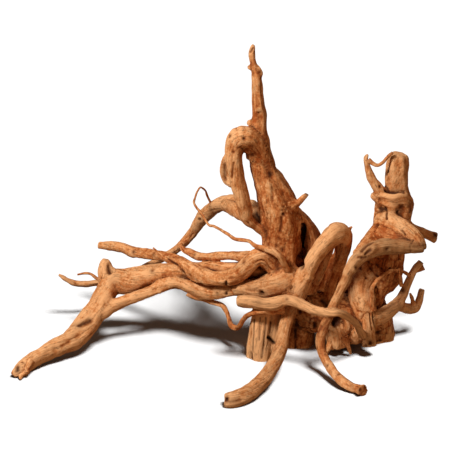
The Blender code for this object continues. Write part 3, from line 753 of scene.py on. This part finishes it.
select_only(body)
bpy.ops.object.mode_set(mode="EDIT")
bpy.ops.mesh.select_all(action="SELECT")
bpy.ops.mesh.bisect(plane_co=(0, 0, 0), plane_no=(0, 0, 1), use_fill=True, clear_inner=True)
bpy.ops.object.mode_set(mode="OBJECT")
triangles = sum(len(face.vertices) - 2 for face in body.data.polygons)
finish_with(body, "DECIMATE", ratio=min(1, MOST_TRIANGLES / triangles))
box_low, box_high = (np.array(corner) / MM for corner in cad_box)
put_places(body, np.clip(places_of(body), box_low, box_high))
bpy.ops.object.shade_smooth_by_angle(angle=SHARPEST_BEND)

# The tints of neighbouring roots run into one another where they have grown together.
TONE_PASSES = 12


def evened(values, ends):
    """Draws each point's values half way to the mean of its neighbours' values."""
    return 0.5 * values + 0.5 * neighbour_mean(values, ends)


places = places_of(body)
ends = edges_of(body)
nearest = nearest_grown(places)
tone = all_grown["tone"][nearest]
for _ in range(TONE_PASSES):
    tone = evened(tone, ends)
put_values(body, "fibre", fibre_of(places, all_frames[all_grown["ring"][nearest]]))
put_values(body, "tint", tone[:, 0])
put_values(body, "grey", tone[:, 1])

# How the surface lies: furrows and hollow places are darkened with painted shade, and ridges are
# made paler, partly as wear and partly as a painted highlight. Relief is read over about 3 mm, and
# hollow over about 10 mm.
RELIEF_PASSES = 6
FULL_RELIEF = 0.8
HOLLOW_PASSES = 60
FULL_HOLLOW = 3
normals = normals_of(body)
smooth = places
for number in range(HOLLOW_PASSES):
    smooth = evened(smooth, ends)
    if number == RELIEF_PASSES:
        relief = np.einsum("ij,ij->i", places - smooth, normals)
hollow = np.einsum("ij,ij->i", smooth - places, normals)
put_values(body, "relief", np.clip(relief / FULL_RELIEF, -1, 1))
put_values(body, "hollow", np.clip(hollow / FULL_HOLLOW, -1, 1))


# The finish: bare, dry wood, pale tan where it is rubbed and on its ridges, which also carry a
# painted highlight, and deep red brown where it is not, with fine streaks along the grain. Furrows
# and hollows are darkened with painted shade.
def put(tree, kind, sockets=None, **settings):
    """Adds a node, gives it these settings, and fills or links its input sockets."""
    made = tree.nodes.new(kind)
    for key, value in settings.items():
        setattr(made, key, value)
    for key, value in (sockets or {}).items():
        if isinstance(value, bpy.types.NodeSocket):
            tree.links.new(value, made.inputs[key])
        else:
            made.inputs[key].default_value = value
    return made


def blend(tree, factor, start, end):
    """Mixes two colours."""
    return put(tree, "ShaderNodeMix", {0: factor, 6: start, 7: end}, data_type="RGBA").outputs[2]


def ramp(tree, value, low, high, start=0.0, end=1.0):
    """Start where the value is low, end where it is high, and between them in between."""
    return put(tree, "ShaderNodeMapRange", {"Value": value, "From Min": low, "From Max": high,
                                            "To Min": start, "To Max": end}).outputs[0]


def reckon(tree, kind, first, second=0.0):
    """One sum on two values."""
    return put(tree, "ShaderNodeMath", {0: first, 1: second}, operation=kind).outputs[0]


# The grain of the wood, as a node group: from a place in the fibres it gives broad and fine
# streaks, thin dark lines, specks drawn out along the fibres, and the height of them all.
NOISE_ROUGHNESS = 0.6
NOISE_MIDDLE = 0.5
BROAD_SHARE = 0.6
FINE_SHARE = 0.4
LINE_WIDTH = 0.012
LINE_DEPTH = 0.3
grain = bpy.data.node_groups.new("wood_grain", "ShaderNodeTree")
grain.interface.new_socket("Fibre", in_out="INPUT", socket_type="NodeSocketVector")
for name in ("Streaks", "Lines", "Specks", "Height"):
    grain.interface.new_socket(name, in_out="OUTPUT", socket_type="NodeSocketFloat")
entry = grain.nodes.new("NodeGroupInput")
leave = grain.nodes.new("NodeGroupOutput")


def fibre_noise(width, length, detail, seed):
    """Noise drawn out along the fibres, of this width and length in millimetres."""
    place = put(grain, "ShaderNodeMapping",
                {"Vector": entry.outputs["Fibre"], "Location": (seed, seed, seed),
                 "Scale": (1 / width, 1 / width, 1 / length)}).outputs[0]
    return put(grain, "ShaderNodeTexNoise",
               {"Vector": place, "Scale": 1, "Detail": detail,
                "Roughness": NOISE_ROUGHNESS}).outputs[0]


broad = fibre_noise(width=4, length=60, detail=3, seed=3)
fine = fibre_noise(width=1.3, length=26, detail=3, seed=11)
drift = fibre_noise(width=6, length=90, detail=2, seed=23)
specks = fibre_noise(width=2.6, length=9, detail=2, seed=41)
line = reckon(grain, "ABSOLUTE", reckon(grain, "SUBTRACT", drift, NOISE_MIDDLE))
lines = ramp(grain, line, 0, LINE_WIDTH, 1, 0)
streaks = reckon(grain, "ADD", reckon(grain, "MULTIPLY", broad, BROAD_SHARE),
                 reckon(grain, "MULTIPLY", fine, FINE_SHARE))
height = reckon(grain, "SUBTRACT", streaks, reckon(grain, "MULTIPLY", lines, LINE_DEPTH))
for name, value in (("Streaks", streaks), ("Lines", lines), ("Specks", specks),
                    ("Height", height)):
    grain.links.new(value, leave.inputs[name])

# Warmth runs from pale over tan to deep red brown. Each run of four numbers is a ramp: from the
# first value to the second, it goes from the third to the fourth.
PALE = (0.74, 0.365, 0.155, 1)
TAN = (0.56, 0.205, 0.062, 1)
WARM = (0.33, 0.072, 0.011, 1)
GREY = (0.34, 0.17, 0.07, 1)
DEEP = (0.012, 0.003, 0.001, 1)
PALE_TO_TAN = (-0.1, 0.4)
TAN_TO_WARM = (0.4, 0.95)
BLOTCHES = ((30, 2, 0.25), (110, 3, 0.2), (330, 3, 0.18))
BLOTCH_EDGES = (0.35, 0.65)
STREAK_WARMTH = (0.35, 0.65, -0.2, 0.2)
# Ridges are made paler by their relief: partly wear, partly a painted highlight.
RIDGE_WEAR_AND_HIGHLIGHT = -0.55
FLECK_SCALE = 290
FLECK_WARMTH = (0.56, 0.7, 0, 0.35)
# Painted shade: furrows and broad hollows are darkened toward DEEP, as shade falls in them.
FURROW_SHADE = (-0.2, -1.0, 0, 0.85)
HOLLOW_SHADE = (0.1, 0.7, 0, 0.85)
LINE_SHADE = 0.32
SPECK_SHADE = (0.6, 0.74, 0, 0.55)
STREAK_ROUGHNESS = (0.3, 0.7, 0.6, 0.8)
DRY_SPECULAR = 0.15
BUMP_DISTANCE = 0.002


def wood_finish(name):
    """Bare wood that reads its tint, greyness and dark places, some of them painted shade, from
    the piece.
    """
    material = bpy.data.materials.new(name)
    material.use_nodes = True
    tree = material.node_tree
    shader = tree.nodes["Principled BSDF"]

    def reading(attribute, field="Fac"):
        return put(tree, "ShaderNodeAttribute", attribute_name=attribute).outputs[field]

    grained = put(tree, "ShaderNodeGroup", node_tree=grain)
    tree.links.new(reading("fibre", "Vector"), grained.inputs["Fibre"])
    place = put(tree, "ShaderNodeTexCoord").outputs["Object"]

    def spots(scale, detail, strength):
        """Blotches of warmer and paler wood, scale of them to the metre."""
        blotches = put(tree, "ShaderNodeTexNoise", {"Vector": place, "Scale": scale,
                                                    "Detail": detail,
                                                    "Roughness": NOISE_ROUGHNESS})
        return ramp(tree, blotches.outputs[0], *BLOTCH_EDGES, -strength, strength)

    relief = reading("relief")
    warmth = reckon(tree, "ADD", reading("tint"), reading("red"))
    # Warmth shifts with blotches and streaks, and ridges turn paler: partly wear, partly a painted
    # highlight.
    for part in (*(spots(*blotch) for blotch in BLOTCHES),
                 ramp(tree, grained.outputs["Streaks"], *STREAK_WARMTH),
                 reckon(tree, "MULTIPLY", relief, RIDGE_WEAR_AND_HIGHLIGHT)):
        warmth = reckon(tree, "ADD", warmth, part)
    flecks = put(tree, "ShaderNodeTexNoise", {"Vector": place, "Scale": FLECK_SCALE, "Detail": 2})
    warmth = reckon(tree, "SUBTRACT", warmth, ramp(tree, flecks.outputs[0], *FLECK_WARMTH))
    colour = blend(tree, ramp(tree, warmth, *PALE_TO_TAN), PALE, TAN)
    colour = blend(tree, ramp(tree, warmth, *TAN_TO_WARM), colour, WARM)
    colour = blend(tree, reading("grey"), colour, GREY)
    # The marks' darkness, painted shade in furrows and hollows, and dark grain lines and specks
    # all draw the colour toward DEEP.
    shade = reading("dark")
    for part in (ramp(tree, relief, *FURROW_SHADE), ramp(tree, reading("hollow"), *HOLLOW_SHADE),
                 reckon(tree, "MULTIPLY", grained.outputs["Lines"], LINE_SHADE),
                 ramp(tree, grained.outputs["Specks"], *SPECK_SHADE)):
        shade = reckon(tree, "MAXIMUM", shade, part)
    colour = blend(tree, shade, colour, DEEP)
    roughness = ramp(tree, grained.outputs["Streaks"], *STREAK_ROUGHNESS)
    bump = put(tree, "ShaderNodeBump", {"Height": grained.outputs["Height"], "Strength": 1,
                                        "Distance": BUMP_DISTANCE})
    tree.links.new(colour, shader.inputs["Base Color"])
    tree.links.new(roughness, shader.inputs["Roughness"])
    tree.links.new(bump.outputs[0], shader.inputs["Normal"])
    shader.inputs["Specular IOR Level"].default_value = DRY_SPECULAR
    return material


bare_wood = wood_finish("weathered_wood")
body.data.materials.clear()
body.data.materials.append(bare_wood)
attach(body, "root")
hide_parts("driftwood_root")

# The thin rootlets: each is a single wiry root, thinner than a pencil, that leaves the wood and
# winds past it.
WIRE = [(10, 123, -33, 5), (4, 136, -39, 5), (-3, 146, -42, 5), (-15, 153, -39, 5),
    (-27, 156, -33, 4), (-37, 159, -26, 3.5), (-46, 166, -15, 3), (-58, 168, -4, 3),
    (-68, 170, 4, 2.5), (-82, 179, 21, 2.5), (-98, 188, 42, 2), (-107, 191, 63, 2),
    (-116, 205, 93, 2), (-124, 215, 117, 2), (-129, 224, 135, 2), (-127, 232, 147, 1.5),
    (-124, 241, 158, 1.5), (-119, 247, 166, 1.5), (-112, 242, 176, 1.5), (-109, 234, 180, 2),
    (-103, 222, 183, 2)]
TAIL_TWIG = [(-261, 102, 81, 3.5), (-274, 110, 90, 2.5), (-284, 117, 93, 2), (-293, 118, 93, 2),
    (-304, 116, 92, 1.5)]
S_ROOT = [(5, 64, -44, 6.5), (-15, 62, -50, 6), (-32, 60, -50, 5), (-45, 57, -42, 4),
    (-53, 51, -28, 3.5), (-59, 42, -15, 3.5), (-65, 36, -3, 4), (-74, 41, 9, 4),
    (-77, 51, 15, 3.5), (-80, 61, 21, 4), (-87, 70, 27, 4), (-102, 75, 34, 3.5),
    (-117, 80, 39, 3.5), (-130, 82, 40, 3.5), (-139, 88, 42, 4.5)]
ARCH_SPIKE = [(93, 171, -3, 9), (101, 181, 0, 4.5), (108, 188, 3, 1.5)]
TENDRIL = [(132, 288, 36, 4), (140, 282, 34, 3), (147, 280, 34, 2.5), (154, 284, 34, 2.5),
    (159, 290, 34, 2.5), (164, 295, 36, 3), (169, 299, 36, 2.5)]
THIN_TWIG = [(140, 63, -9, 4.5), (139, 80, -10, 4), (138, 95, -9, 3.5), (144, 105, -4, 3.5),
    (154, 114, 3, 3), (164, 121, 10, 3), (176, 122, 22, 3), (186, 120, 36, 2.5),
    (196, 113, 50, 2.5)]
TWIG_STUB = [(178, 124, 22, 3), (179, 112, 24, 4.5), (182, 99, 27, 2.5)]
FORK_SIDE = [(202, 123, 56, 4), (208, 124, 56, 4), (216, 127, 56, 4)]
THORN = [(200, 70, 51, 4.5), (198, 80, 50, 3), (195, 88, 50, 1.5)]
ROOTLET_SPACING = 0.5
ROOTLET_SIDES = 12
ROOTLET_LOBES = 0.1
ROOTLET_TWIST = 0.05
SWELLING = 0.16
SWELLING_SIZE = (6, 6, 9)
FURROW = 0.1
FURROW_SIZE = (2, 2, 14)
SWELLING_RELIEF = 4


def rootlet(name, route, tint):
    """A thin root with knotty swellings, finished as the rest of the wood."""
    first = len(grown["place"])
    piece = grow(name, route, tint=tint, lobes=ROOTLET_LOBES, twist=ROOTLET_TWIST,
                 sides=ROOTLET_SIDES, ring_spacing=ROOTLET_SPACING)
    tone, rows = grown["tone"][first], np.array(frames)[grown["ring"][first]]
    places, normals = places_of(piece), normals_of(piece)
    fibre = fibre_of(places, rows)
    radius = np.linalg.norm(fibre[:, :2], axis=1)
    swell = (SWELLING * noise_at(fibre, SWELLING_SIZE, first)
             + FURROW * noise_at(fibre, FURROW_SIZE, first))
    put_places(piece, np.clip(places + (radius * swell)[:, None] * normals, box_low, box_high))
    put_values(piece, "fibre", fibre)
    for number, value in enumerate(("tint", "grey")):
        put_values(piece, value, tone[:, number])
    put_values(piece, "relief", np.clip(SWELLING_RELIEF * swell, -1, 1))
    for value in ("dark", "red", "hollow"):
        put_values(piece, value, np.zeros(len(places)))
    select_only(piece)
    bpy.ops.object.shade_smooth_by_angle(angle=SHARPEST_BEND)
    piece.data.materials.append(bare_wood)
    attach(piece, "root")
    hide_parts("driftwood_root")


rootlet("wire_root", WIRE, (0.35, 0.45))
rootlet("tail_twig", TAIL_TWIG, (0.35, 0.45))
rootlet("winding_root", S_ROOT, (0.6, 0.35))
rootlet("arch_spike", ARCH_SPIKE, (0.6, 0.6))
rootlet("tendril", TENDRIL, (0.4, 0.4))
rootlet("thin_twig", THIN_TWIG, (0.5, 0.4))
rootlet("twig_stub", TWIG_STUB, (0.5, 0.5))
rootlet("fork_side", FORK_SIDE, (0.5, 0.5))
rootlet("fork_thorn", THORN, (0.4, 0.3))

# A dead strand of bark still clings to the upper left branch, where its fork has closed over it.
# It is wood too, dried thin and dark.
BARK_STRAND = [(-190, 156, 108, 1.5), (-172, 141, 84, 2), (-155, 132, 66, 2), (-144, 120, 48, 2),
    (-131, 109, 31, 1.8), (-117, 102, 22, 1)]
rootlet("bark_strand", BARK_STRAND, (0.3, 0.7))

# The big limb ends in torn teeth of wood round a hollow: it broke off long ago, and its fibres
# have dried into points.
TEETH = [
    [(-386, -22, -92, 7), (-397, -29, -102, 5), (-402, -33, -106, 2.5)],
    [(-380, -28, -100, 6), (-388, -36, -110, 3.5), (-389, -41, -117, 1.2)],
    [(-374, -14, -92, 6), (-378, -24, -104, 4.5), (-379, -31, -110, 2)],
]
for number, route in enumerate(TEETH):
    rootlet(f"tooth_{number + 1}", route, (0.2, 0.5))

# The broken stub between the two trunks ends in two short, ragged splinters, one on each side
# of the hollow in its torn face.
SPLINTERS = [
    [(78, 24, -22, 7), (74, 8, -27, 4.5), (71, -2, -29, 1.5)],
    [(96, 22, -24, 6.5), (102, 8, -27, 4), (106, -3, -28, 1.5)],
]
for number, route in enumerate(SPLINTERS):
    rootlet(f"splinter_{number + 1}", route, (0.35, 0.15))

# The plain pale floor. The camera sees it grey, and the wood gets a weak, warm glow from it.
FLOOR_SIZE = 12
FLOOR_SEEN = (0.5, 0.5, 0.5, 1)
FLOOR_GLOW = (0.12, 0.085, 0.055, 1)
bpy.ops.mesh.primitive_plane_add(size=FLOOR_SIZE, location=(0, 0, 0))
floor = bpy.context.object
floor.name = "floor"
paper = bpy.data.materials.new("pale_floor")
paper.use_nodes = True
tree = paper.node_tree
shader = tree.nodes["Principled BSDF"]
is_seen = put(tree, "ShaderNodeLightPath").outputs["Is Camera Ray"]
tree.links.new(blend(tree, is_seen, FLOOR_GLOW, FLOOR_SEEN), shader.inputs["Base Color"])
shader.inputs["Roughness"].default_value = 1
shader.inputs["Specular IOR Level"].default_value = 0
floor.data.materials.append(paper)
floor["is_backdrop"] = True


# The studio light: a soft key from the upper left, a weak fill, a light from behind, and an
# overhead lamp for the floor and its shadow.
LIT_POINT = Vector((-0.08, 0, 0.2))
FLOOR_LIGHT_POWER = 7.4
FLOOR_LIGHT_WIDTH = math.radians(16)
FLOOR_LIGHT_WAY = Vector((-0.3, 0.38, -1))
SKY_COLOUR = (1, 0.8, 0.62, 1)
SKY_STRENGTH = 0.07


def lamp(name, place, size, power, colour=(1, 1, 1)):
    """A square lamp that faces the middle of the root."""
    bpy.ops.object.light_add(type="AREA", location=place)
    light = bpy.context.object
    light.name = name
    light.data.size = size
    light.data.energy = power
    light.data.color = colour
    light.rotation_euler = (LIT_POINT - Vector(place)).to_track_quat("-Z", "Y").to_euler()
    return light


lamps = [
    lamp("key_light", place=(-1.7, -1.5, 2.3), size=0.6, power=121),
    lamp("fill_light", place=(1.8, -2.4, 1.0), size=1.4, power=16, colour=(1, 0.7, 0.45)),
    lamp("back_light", place=(0.6, 2.0, 1.8), size=1.2, power=16, colour=(1, 0.85, 0.7)),
]
bpy.ops.object.light_add(type="SUN", location=(1, -1, 3))
top = bpy.context.object
top.name = "floor_light"
top.data.energy = FLOOR_LIGHT_POWER
top.data.angle = FLOOR_LIGHT_WIDTH
top.rotation_euler = FLOOR_LIGHT_WAY.to_track_quat("-Z", "Y").to_euler()

# The three lamps light the wood alone, and the overhead lamp lights the floor alone.
on_the_wood = bpy.data.collections.new("lit_wood")
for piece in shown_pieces():
    on_the_wood.objects.link(piece)
for light in lamps:
    light.light_linking.receiver_collection = on_the_wood
on_the_floor = bpy.data.collections.new("lit_floor")
on_the_floor.objects.link(floor)
top.light_linking.receiver_collection = on_the_floor

sky = bpy.data.worlds.new("studio")
sky.use_nodes = True
backdrop = sky.node_tree.nodes["Background"]
backdrop.inputs["Color"].default_value = SKY_COLOUR
backdrop.inputs["Strength"].default_value = SKY_STRENGTH
bpy.context.scene.world = sky
bpy.context.scene.view_settings.view_transform = "Standard"
